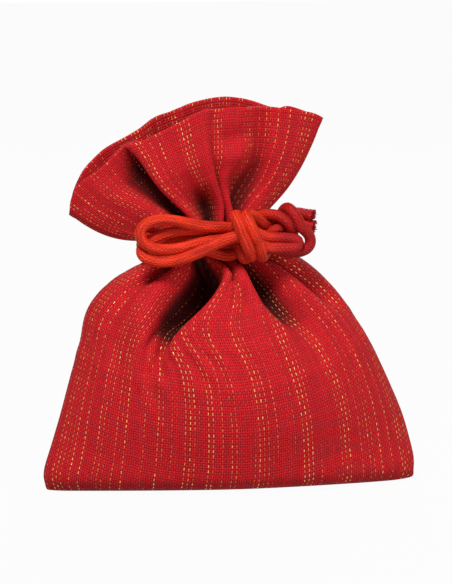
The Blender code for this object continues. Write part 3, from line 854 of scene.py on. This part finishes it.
def body_rings(side):
    """Control rings of the bag below the tie, from the sewn fold under it up to the neck."""
    low = list(FOOT_SECTIONS)
    for rise, width, depth, point in CORNER_OUTLINE:
        half, height = BODY_WIDTH / 2 * width / MM, CORNER_HEIGHT * rise / MM + CORNER_LIFT
        low.append((half - LEFT_CORNER_IN, half, BELLY_DEPTH / 2 * depth / MM, height, point))
    rings = []
    for left, right, half_depth, height, point in low:
        forward = FOOT_SLANT * max(0.0, 1 - height / SLANT_HEIGHT)
        ends = np.array([(-left, 0, height), (right, -forward, height)]) * MM
        rings.append(half_section(straight(*ends), half_depth * MM, point, side))
    for rise, width, depth, drift in BODY_OUTLINE:
        half = BODY_WIDTH / 2 * width
        tilt = NECK_TILT * max(0.0, (rise - 0.5) * 2) ** 1.5
        middle = np.array((NECK_OFFSET * drift, 0, (NECK_HEIGHT - NECK_BAND / 2) * rise))
        along = np.array((math.cos(tilt), 0, math.sin(tilt))) * half
        left = middle - along - (spline(LEFT_EASE, rise) * MM, 0, 0)
        right = middle + along + (spline(RIGHT_EASE, rise) * MM, 0, 0)
        rings.append(half_section(straight(left, right), BELLY_DEPTH / 2 * depth, 1.5 + 0.5 * rise, side))
    return rings


def neck_ring(height, side):
    along, up = (np.array(v) for v in neck_directions())
    middle = np.array(neck_centre()) + up * height
    reach = along * NECK_WIDTH / 2
    return half_section(straight(middle - reach, middle + reach), NECK_DEPTH / 2, 2.0, side)


def ruffle_ring(rise, side):
    """A section of the ruffle. rise is 0 at the neck and 1 at the rim."""
    along, up = (np.array(v) for v in neck_directions())
    middle = np.array(neck_centre()) + up * NECK_BAND / 2
    rim = FRONT_RIM if side < 0 else BACK_RIM

    def bow(share):
        angle = RUFFLE_LEFT_ANGLE + (RUFFLE_RIGHT_ANGLE - RUFFLE_LEFT_ANGLE) * share
        radius = spline(rim, share) * MM
        outer = np.array(neck_centre()) + np.stack(
            [np.cos(angle) * radius, np.zeros(len(share)), np.sin(angle) * radius], 1
        )
        flat = middle + along * ((share - 0.5) * NECK_WIDTH)[:, None]
        swell = math.sin(math.pi * rise) * MM
        right = share[:, None] ** 4 * np.array(RIGHT_SWELL) * swell
        left = (1 - share[:, None]) ** 4 * np.array(LEFT_SWELL) * swell
        return flat + (outer - flat) * rise + right + left

    waist = 1 - math.sin(math.pi * min(1, rise * 1.6)) * WAIST_PINCH
    half_depth = (NECK_DEPTH + (MOUTH_DEPTH - NECK_DEPTH) * rise) / 2 * waist
    return half_section(bow, half_depth, 2.0 - 0.3 * rise, side)


def through_rings(rings, steps):
    """A smooth surface through control rings (uniform cubic B-spline), as many dense rings."""
    rings = np.array(rings)
    rings = np.concatenate([rings[:1] * 2 - rings[1:2], rings, rings[-1:] * 2 - rings[-2:-1]])
    dense = []
    for i in range(1, len(rings) - 2):
        for t in np.arange(steps) / steps:
            weights = ((1 - t) ** 3, 3 * t**3 - 6 * t**2 + 4, -3 * t**3 + 3 * t**2 + 3 * t + 1, t**3)
            dense.append(sum(w * rings[i - 1 + k] for k, w in enumerate(weights)) / 6)
    dense.append((rings[-3] + 4 * rings[-2] + rings[-1]) / 6)
    return np.array(dense)


def along_columns(dense, rows):
    """Rows that are evenly spaced along each column of a dense surface."""
    columns = []
    for column in dense.transpose(1, 0, 2):
        run = lengths_along(column)
        columns.append(read_at(np.linspace(0, run[-1], rows + 1), run, column))
    return np.stack(columns, 1)


def cloth_rows(side):
    """The unfolded surface of one half of the bag, row by row, and each row's cloth height above the tie."""
    up = NECK_BAND / 2
    rings = body_rings(side) + [neck_ring(-up, side)] * 2
    body = along_columns(through_rings(rings, RING_STEPS), ROWS_BODY)
    neck = np.array([neck_ring(h, side) for h in np.linspace(-up, up, ROWS_NECK + 1)])
    ruffle = np.array([ruffle_ring(r, side) for r in np.linspace(0, 1, ROWS_RUFFLE * RUFFLE_STEPS + 1)])
    ruffle = along_columns(ruffle, ROWS_RUFFLE)
    rows = np.concatenate([body[:-1], neck, ruffle[1:]])
    heights = np.concatenate([
        np.linspace(-BELOW_TIE, 0, ROWS_BODY + 1)[:-1],
        np.linspace(0, NECK_BAND, ROWS_NECK + 1),
        np.linspace(NECK_BAND, NECK_BAND + ABOVE_TIE, ROWS_RUFFLE + 1)[1:],
    ])
    return rows, heights


def lines_at(lines, height):
    """Where the lines cross one height: shares across, and millimetres in."""
    at = np.array([height])
    return [[spline([(key[0], key[c]) for key in line], at)[0] for line in lines] for c in (1, 2)]


def folded_row(row, inward, shares, depths, side, factor):
    """A row of the smooth shape with its folds: crests and hollows joined by one smooth line."""
    turn = np.arccos(np.clip(1 - 2 * np.array([0, *shares, 1]), -1, 1)) / math.pi * (SAMPLES - 1)
    deep = np.array([0, *depths, 0]) * MM * factor
    spot = np.arange(SAMPLES)
    steps = np.hypot(np.diff(np.interp(turn, spot, lengths_along(row))), np.diff(deep)) + 0.2 * MM
    along = np.concatenate(([0], np.cumsum(steps)))
    dense = np.linspace(0, along[-1], SAMPLES * 2)
    at = spline(np.stack([along, turn], 1), dense)
    depth = spline(np.stack([along, deep], 1), dense)
    place, way = (read_at(at, spot, table) for table in (row, inward))
    line = place + way * depth[:, None]
    stop = np.minimum(np.abs(place[:, 1]), LAYER_GAP)
    line[:, 1] = side * np.maximum(side * line[:, 1], stop)
    run = lengths_along(line)
    return line, run, np.interp(along, dense, run), np.linalg.norm(line - place, axis=1) * np.sign(depth)


def unit(vectors):
    """A grid of vectors, each made one long."""
    return vectors / (np.linalg.norm(vectors, axis=2)[:, :, None] + 1e-12)


def softened(table, rounds):
    """A table of rows with each column smoothed from row to row."""
    table = table.copy()
    for _ in range(rounds):
        wide = np.concatenate([table[:1], table, table[-1:]])
        table = wide[1:-1] * 0.5 + (wide[:-2] + wide[2:]) * 0.25
    return table


def folded_half(side, lines):
    """One half of the cloth with its folds: rows of points from the left seam to the right one, each with how
    far in it is, and each row's cloth height."""
    rows, heights = cloth_rows(side)
    inward = np.cross(np.gradient(rows, axis=1), np.gradient(rows, axis=0)) * side
    for _ in range(8):
        inward = evened(unit(inward), 1)
    ends = np.abs(np.linspace(-1, 1, SAMPLES)) ** SEAM_POWER
    inward = unit(inward) * (1 - ends)[None, :, None]
    crossings = [lines_at(lines, h / MM) for h in heights]
    # up to the tie the folds are as deep as the flat bag's width asks, and above it as their lines say
    factors = []
    for row, away, (shares, depths) in zip(rows, inward, crossings):
        low, high = 0.0, MOST_FOLD
        for _ in range(FOLD_SEARCH):
            middle = (low + high) / 2
            if folded_row(row, away, shares, depths, side, middle)[1][-1] < FLAT_WIDTH:
                low = middle
            else:
                high = middle
        factors.append(low)
    factors = evened(np.array(factors), 3)
    fixed = np.interp(heights / MM, FOLDS_AS_DRAWN, (0, 1))
    factors = factors * (1 - fixed) + fixed
    folded = [
        folded_row(row, away, shares, depths, side, factor)
        for row, away, (shares, depths), factor in zip(rows, inward, crossings, factors)
    ]
    # near the tie the warp threads keep to the crests and hollows, and further down they are evenly spaced
    even = softened(np.array([marks / run[-1] for _, run, marks, _ in folded]), EVEN_ROUNDS)
    kept = np.interp(heights / MM, THREADS_IN_FOLDS, (0, 1))[:, None]
    threads = even * (1 - kept) + softened(even, THREAD_ROUNDS) * kept
    result = []
    for (line, run, marks, deep), thread in zip(folded, threads):
        places = spline(np.stack([thread, marks], 1), np.linspace(0, 1, AROUND // 2 + 1))
        result.append(read_at(places, run, np.column_stack([line, deep])))
    return np.array(result), heights


def cloth_grid():
    """The whole cloth: rows of points round the bag, each row's cloth height, and how far in they all are."""
    front, heights = folded_half(-1, FRONT_LINES)
    back, _ = folded_half(1, BACK_LINES)
    whole = np.concatenate([front[:, :-1], back[:, ::-1][:, :-1]], axis=1)
    return whole[:, :, :3], heights, whole[:, :, 3]


def pair_batches(rows, around):
    """Pairs of cloth points, in batches that share none: first, second, steps across and up, stiffness."""
    number = np.arange(rows * around).reshape(rows, around)
    for up, across, stiffness in (
        (0, 1, 1.0), (1, 0, 1.0), (1, 1, SHEAR), (1, -1, SHEAR),
        (0, 2, BEND), (2, 0, BEND), (0, 4, BEND * 0.25), (4, 0, BEND * 0.25),
    ):
        row, column = np.meshgrid(np.arange(rows - up), np.arange(around), indexing="ij")
        step = max(1, up if up else abs(across))
        colour = (row if up else column) // step % 2
        for shade in (0, 1):
            chosen = colour == shade
            first = number[row[chosen], column[chosen]]
            second = number[row[chosen] + up, (column[chosen] + across) % around]
            yield first, second, across, up, stiffness


def round_mean(table):
    """Each point's mean with its two neighbours round the bag."""
    return (table + np.roll(table, 1, 1) + np.roll(table, -1, 1)) / 3


def thread_lengths(grid, heights):
    """Pairs of cloth points: first, second, the length they keep, how stiffly, and whether it may grow."""
    rows, around = grid.shape[:2]
    flat = np.repeat(heights + BELOW_TIE, around)
    step_up = np.linalg.norm(np.diff(grid, axis=0), axis=2)
    for _ in range(3):
        step_up = round_mean(step_up)
    laid = np.concatenate([np.zeros((1, around)), np.cumsum(step_up, axis=0)]).ravel()
    across_laid = np.linalg.norm(np.roll(grid, -1, 1) - grid, axis=2).mean(1) / CELL
    free = np.interp(heights / MM, EASE_CHANGE, (0, 1))
    easing = np.repeat(BODY_EASE * (1 - free) + across_laid * free, around)
    for first, second, across, up, stiffness in pair_batches(rows, around):
        rise = flat[second] - flat[first]
        if up:  # along the warp, the cloth is cut to the shape it was laid in
            rise = np.maximum(rise * 0.5, laid[second] - laid[first])
        length = np.sqrt(rise**2 + (across * CELL * easing[first]) ** 2)
        yield first, second, length, stiffness, max(up, abs(across)) > 1


def relax_cloth(grid, heights, line, settings):
    """Lets the cloth take its real size: its threads keep their length, it resists bending, the filling
    presses it out, and it stays clear of the floor, of the bag's other half and of the cord."""
    rows, around = grid.shape[:2]
    start = grid.reshape(-1, 3).copy()
    batches = list(thread_lengths(grid, heights))
    hold = np.repeat(np.interp(heights / MM, *zip(*HOLD)), around)
    press = np.repeat(np.interp(heights / MM, *zip(*PRESS)), around) * MM
    column = np.tile(np.arange(around), rows)
    side = np.where(column <= around // 2, -1.0, 1.0)
    seam = np.minimum(column % (around // 2), (-column) % (around // 2))
    gap = np.minimum(LAYER_GAP, seam * CELL * 0.25)
    other = (-np.arange(around)) % around
    tree = KDTree(len(line))
    for i, place in enumerate(line):
        tree.insert(place, i)
    tree.balance()
    near_tie = np.nonzero(np.repeat(np.abs(heights) < TIE_REACH, around))[0]
    thick = settings.kinchaku_cloth.thickness
    keep_off = settings.kinchaku_cord.drawn / 2 + thick / 2 + CORD_CLEARANCE
    rough = np.random.default_rng(5).normal(size=(rows, around, 1))
    for _ in range(ROUGH_ROUNDS):
        rough = round_mean(rough)
        rough[1:-1] = (rough[1:-1] + rough[:-2] + rough[2:]) / 3
    place = start.copy()
    for step in range(settings.kinchaku_cloth.settling):
        shape = place.reshape(rows, around, 3)
        if step % PRESS_EVERY == 0:
            out = unit(np.cross(np.roll(shape, -1, 1) - np.roll(shape, 1, 1), np.gradient(shape, axis=0)))
            if step == 0:
                place += (out * rough).reshape(-1, 3) * ROUGHNESS
            out = out.reshape(-1, 3)
        place += out * press[:, None]
        for first, second, kept, stiffness, may_grow in batches:
            run = place[second] - place[first]
            length = np.sqrt((run * run).sum(1)) + 1e-12
            change = (length - kept) / length
            if may_grow:  # pairs two or more cells apart only resist bending
                change = np.minimum(change, 0)
            run *= (change * stiffness * 0.5)[:, None]
            place[first] += run
            place[second] -= run
        place += (start - place) * hold[:, None]
        # each half stays on its own side and above the floor, and the lowest row is one fold of both
        place[:, 1] = side * np.maximum(side * place[:, 1], gap)
        np.maximum(place[:, 2], thick / 2, out=place[:, 2])
        foot = place[:around]
        place[:around] = (foot + foot[other]) / 2
        if step % CORD_EVERY == CORD_EVERY - 1:
            for i in near_tie:
                spot, _, far = tree.find(place[i])
                if far < keep_off:
                    place[i] += (place[i] - np.array(spot)) / far * (keep_off - far)
    place -= start
    far = np.linalg.norm(place, axis=1)
    place *= np.minimum(1, RELAX_REACH / np.maximum(far, 1e-9))[:, None]
    return (start + place).reshape(rows, around, 3)


def mark_inside(mesh, outer):
    """Marks the cloth's inner face with millimetres below the rim, which the material turns into painted
    shade. outer counts the points of each face.
    """
    place = np.empty(len(mesh.vertices) * 3)
    mesh.vertices.foreach_get("co", place)
    place = place.reshape(-1, 3) - np.array((0, 0, NECK_HEIGHT / 2))
    layers = place[:outer], place[outer : 2 * outer]
    first, second = (np.linalg.norm(layer, axis=1).mean() for layer in layers)
    below = np.empty(len(mesh.vertices))
    mesh.attributes["rim depth"].data.foreach_get("value", below)
    number = np.arange(len(below))
    inner = (number < outer) if first < second else (number >= outer)
    set_point_values(mesh, "inside", np.where(inner, below, 0.0))
    mesh.attributes.remove(mesh.attributes["rim depth"])


def build_cloth(line, settings):
    """The cloth as one layer of cells, open at the mouth, closed at the foot. Its UV map is the flat bag."""
    grid, heights, sunk = cloth_grid()
    rows, around = grid.shape[:2]
    half = around // 2
    index = np.arange(rows * around).reshape(rows, around) + half + 1 - around
    # the lowest row is the fold under the bag, where its back half lies on its front half
    index[0] = np.concatenate([np.arange(half + 1), np.arange(half - 1, 0, -1)])
    grid = relax_cloth(grid, heights, line, settings)
    points = np.zeros((index.max() + 1, 3))
    points[index.ravel()] = grid.reshape(-1, 3)
    faces, uvs = net_of_cells(index, heights + BELOW_TIE, CELL)
    cloth = mesh_object("pouch_cloth", points, faces, uvs)
    # depths in the folds and below the rim, which the material turns into painted shade
    for name, depths in (("hollow", sunk.ravel()), ("rim depth", np.repeat(heights[-1] - heights, around))):
        values = np.zeros(len(points))
        values[index.ravel()] = depths / MM
        set_point_values(cloth.data, name, values)
    rim = cloth.vertex_groups.new(name="rim")
    for row, weight in ((range(rows - 2), 0.5), ((rows - 2,), 0.8), ((rows - 1,), 1.0)):
        rim.add([int(i) for i in np.unique(index[list(row)])], weight, "REPLACE")
    return cloth


def frayed_end(name, line, radius, count, seed):
    """The cut end of a cord: loose fibres that spread from its last millimetre. line runs towards the cut."""
    along, side, other = carried_frames(line)
    direction, across, up = along[-1], side[-1], other[-1]
    rng = np.random.default_rng(seed)
    points, faces, uvs = [], [], []
    for _ in range(count):
        angle, spread = rng.uniform(0, 2 * math.pi), math.sqrt(rng.uniform(0, 1))
        out = across * math.cos(angle) + up * math.sin(angle)
        start = line[-1] - direction * FIBRE_ROOT + out * radius * spread * ROOTS_WITHIN
        length = rng.uniform(*FIBRE_LENGTHS) * MM
        lean = direction + out * spread * rng.uniform(0.0, FIBRE_SPREAD) + rng.normal(size=3) * FIBRE_STRAY
        curl = rng.normal(size=3) * FIBRE_CURL
        first = len(points)
        thick = rng.uniform(*FIBRE_THICKNESSES) * MM
        for k in range(FIBRE_STEPS + 1):
            t = k / FIBRE_STEPS
            middle = start + (lean * t + curl * t * t) * length
            for a in FIBRE_SIDES:
                edge = across * math.cos(a) + up * math.sin(a)
                points.append(middle + edge * thick * (1 - FIBRE_TAPER * t))
        for k in range(FIBRE_STEPS):
            low = first + 3 * k
            for a, b in ((0, 1), (1, 2), (2, 0)):
                faces.append([low + a, low + b, low + 3 + b, low + 3 + a])
                uvs += [(angle * MM, k * 0.5 * MM)] * 4
        tip = first + 3 * FIBRE_STEPS
        faces += [[first + 2, first + 1, first], [tip, tip + 1, tip + 2]]
        uvs += [(angle * MM, 0)] * 6
    return mesh_object(name, points, faces, uvs)


class KINCHAKU_OT_frayed_ends(Operator):
    """Fray the cord's two cut ends"""

    bl_idname = "kinchaku.frayed_ends"
    bl_label = "Frayed Ends"

    def execute(self, context):
        cord = context.scene.kinchaku_cord
        line = drawn_line()
        material = frayed_material(cord)
        radius = cord.drawn / 2 * FRAYED_REACH
        for seed, (name, run_out) in enumerate(zip(FRAYED_ENDS, (line[::-1], line)), 3):
            fibres = frayed_end(name, run_out[-END_POINTS:], radius, cord.fibres, seed)
            fibres.data.materials.append(material)
            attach(fibres, "root")
            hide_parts("drawcord")
        return {"FINISHED"}


class KINCHAKU_OT_drawcord(Operator):
    """Lay the satin cord round the neck and tie it"""

    bl_idname = "kinchaku.drawcord"
    bl_label = "Drawcord"

    def execute(self, context):
        settings = context.scene.kinchaku_cord
        line = drawn_line()
        _, side, other = carried_frames(line)
        run = np.arange(len(line)) * CORD_CELL
        end = np.minimum(run, run[-1] - run) / MM
        flare = END_FLARE * np.exp(-((end / FLARE_REACH) ** 2))
        radius = settings.drawn / 2 * (1 + flare + KNOT_SWELL * on_knot(line))[:, None, None]
        angle = np.arange(CORD_SIDES) * 2 * math.pi / CORD_SIDES
        ring = np.cos(angle)[None, :, None] * side[:, None] + np.sin(angle)[None, :, None] * other[:, None]
        points = (line[:, None] + ring * radius).reshape(-1, 3)
        index = np.arange(len(points)).reshape(-1, CORD_SIDES)
        faces, uvs = net_of_cells(index, run, math.pi * settings.drawn / CORD_SIDES)
        cord = mesh_object("drawcord_satin", points, faces, uvs)
        edit = bmesh.new()
        edit.from_mesh(cord.data)
        bmesh.ops.holes_fill(edit, edges=[e for e in edit.edges if e.is_boundary], sides=0)
        bmesh.ops.recalc_face_normals(edit, faces=edit.faces)
        edit.to_mesh(cord.data)
        edit.free()
        cord.data.materials.append(satin_material(settings))
        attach(cord, "root")
        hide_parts("drawcord")
        return {"FINISHED"}


class KINCHAKU_OT_cloth(Operator):
    """Sew, fill and gather the bag's cloth"""

    bl_idname = "kinchaku.cloth"
    bl_label = "Cloth"

    def execute(self, context):
        settings = context.scene.kinchaku_cloth
        cloth = build_cloth(drawn_line(), context.scene)
        cloth.data.materials.append(cloth_material(settings))
        rounder = cloth.modifiers.new("finer cells", "SUBSURF")
        rounder.levels = rounder.render_levels = 1
        apply_modifier(cloth, rounder)
        wall = cloth.modifiers.new("cloth thickness", "SOLIDIFY")
        wall.thickness = settings.thickness * 2  # at the rim, which is turned in, and half of it elsewhere
        wall.vertex_group = "rim"
        wall.offset = 0
        outer = len(cloth.data.vertices)
        apply_modifier(cloth, wall)
        mark_inside(cloth.data, outer)
        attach(cloth, "root")
        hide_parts("pouch")
        return {"FINISHED"}


class KINCHAKU_OT_stage(Operator):
    """Set out the floor, the lights and the camera"""

    bl_idname = "kinchaku.stage"
    bl_label = "Stage"

    def execute(self, context):
        scene = context.scene
        settings = scene.kinchaku_stage
        bpy.ops.mesh.primitive_plane_add(size=FLOOR_SIZE, location=(0, 0, 0))
        floor = context.active_object
        floor.name = "floor"
        # the camera sees the floor almost as white as the room, with the pouch's faint shadow on it
        material, w, _ = new_material("pale floor", {"Base Color": (*settings.floor, 1), "Roughness": 0.7})
        rays = w.add("LightPath").outputs
        seen = w.math("MAXIMUM", rays["Is Glossy Ray"], rays["Is Transmission Ray"])
        seen = w.times(w.math("MAXIMUM", rays["Is Camera Ray"], seen), FLOOR_WHITE)
        white = w.add("Emission", {"Color": (1, 1, 1, 1), "Strength": 1.0}).outputs[0]
        lit = material.node_tree.nodes["Principled BSDF"].outputs[0]
        both = w.add("MixShader", {0: seen, 1: lit, 2: white}).outputs[0]
        w.link(both, material.node_tree.nodes["Material Output"].inputs["Surface"])
        floor.data.materials.append(material)

        for name, place, size in LAMPS:
            turn = (Vector(LAMPS_AIM) - Vector(place)).to_track_quat("-Z", "Y").to_euler()
            bpy.ops.object.light_add(type="AREA", location=place, rotation=turn)
            lamp = context.active_object
            lamp.name = lamp.data.name = name
            lamp.data.size, lamp.data.energy = size, getattr(settings, name)

        world = bpy.data.worlds.new("white room")
        scene.world = world
        world.use_nodes = True
        room = Wiring(world.node_tree)
        rays = room.add("LightPath").outputs
        seen = room.math("MAXIMUM", rays["Is Camera Ray"], rays["Is Transmission Ray"])
        backdrop = world.node_tree.nodes["Background"].inputs
        backdrop["Color"].default_value = (1, 1, 1, 1)
        room.link(room.ramp(seen, 0.0, 1.0, settings.room, 1.0, kind="LINEAR"), backdrop["Strength"])

        sine, cosine, level = math.sin(CAMERA_AZIMUTH), math.cos(CAMERA_AZIMUTH), math.cos(CAMERA_ELEVATION)
        back = Vector((sine * level, -cosine * level, math.sin(CAMERA_ELEVATION)))
        right = Vector((cosine, sine, 0))
        target = back.cross(right) * PHOTO_MIDDLE_UP * MM - right * PHOTO_MIDDLE_LEFT * MM
        turn = back.to_track_quat("Z", "Y").to_euler()
        bpy.ops.object.camera_add(location=target + back * CAMERA_DISTANCE, rotation=turn)
        camera = context.active_object
        scene.camera = camera
        camera.data.sensor_width = SENSOR_WIDTH
        camera.data.lens = SENSOR_WIDTH * CAMERA_DISTANCE / (PHOTO_ROWS * PHOTO_SCALE)
        camera.data.clip_start, camera.data.clip_end = 0.05, 50
        scene.view_settings.view_transform = "Standard"
        return {"FINISHED"}


class KINCHAKU_PT_sidebar(Panel):
    """Steps and settings of the pouch"""

    bl_idname = "KINCHAKU_PT_sidebar"
    bl_label = "Kinchaku Pouch"
    bl_space_type = "VIEW_3D"
    bl_region_type = "UI"
    bl_category = "Pouch"

    def draw(self, context):
        scene = context.scene
        for operators, settings in (
            (("kinchaku.frayed_ends", "kinchaku.drawcord"), scene.kinchaku_cord),
            (("kinchaku.cloth",), scene.kinchaku_cloth),
            (("kinchaku.stage",), scene.kinchaku_stage),
        ):
            box = self.layout.box()
            for name in type(settings).__annotations__:
                box.prop(settings, name)
            for operator in operators:
                box.operator(operator)


CLASSES = (
    KINCHAKU_PG_cloth, KINCHAKU_PG_cord, KINCHAKU_PG_stage, KINCHAKU_OT_frayed_ends, KINCHAKU_OT_drawcord,
    KINCHAKU_OT_cloth, KINCHAKU_OT_stage, KINCHAKU_PT_sidebar,
)


def register():
    for cls in CLASSES:
        bpy.utils.register_class(cls)
    bpy.types.Scene.kinchaku_cloth = PointerProperty(type=KINCHAKU_PG_cloth)
    bpy.types.Scene.kinchaku_cord = PointerProperty(type=KINCHAKU_PG_cord)
    bpy.types.Scene.kinchaku_stage = PointerProperty(type=KINCHAKU_PG_stage)


def unregister():
    del bpy.types.Scene.kinchaku_stage, bpy.types.Scene.kinchaku_cord, bpy.types.Scene.kinchaku_cloth
    for cls in reversed(CLASSES):
        bpy.utils.unregister_class(cls)


def main():
    register()
    bpy.ops.object.select_all(action="DESELECT")
    bpy.ops.kinchaku.frayed_ends()
    bpy.ops.kinchaku.drawcord()
    bpy.ops.kinchaku.cloth()
    bpy.ops.kinchaku.stage()


if __name__ == "__main__":
    main()
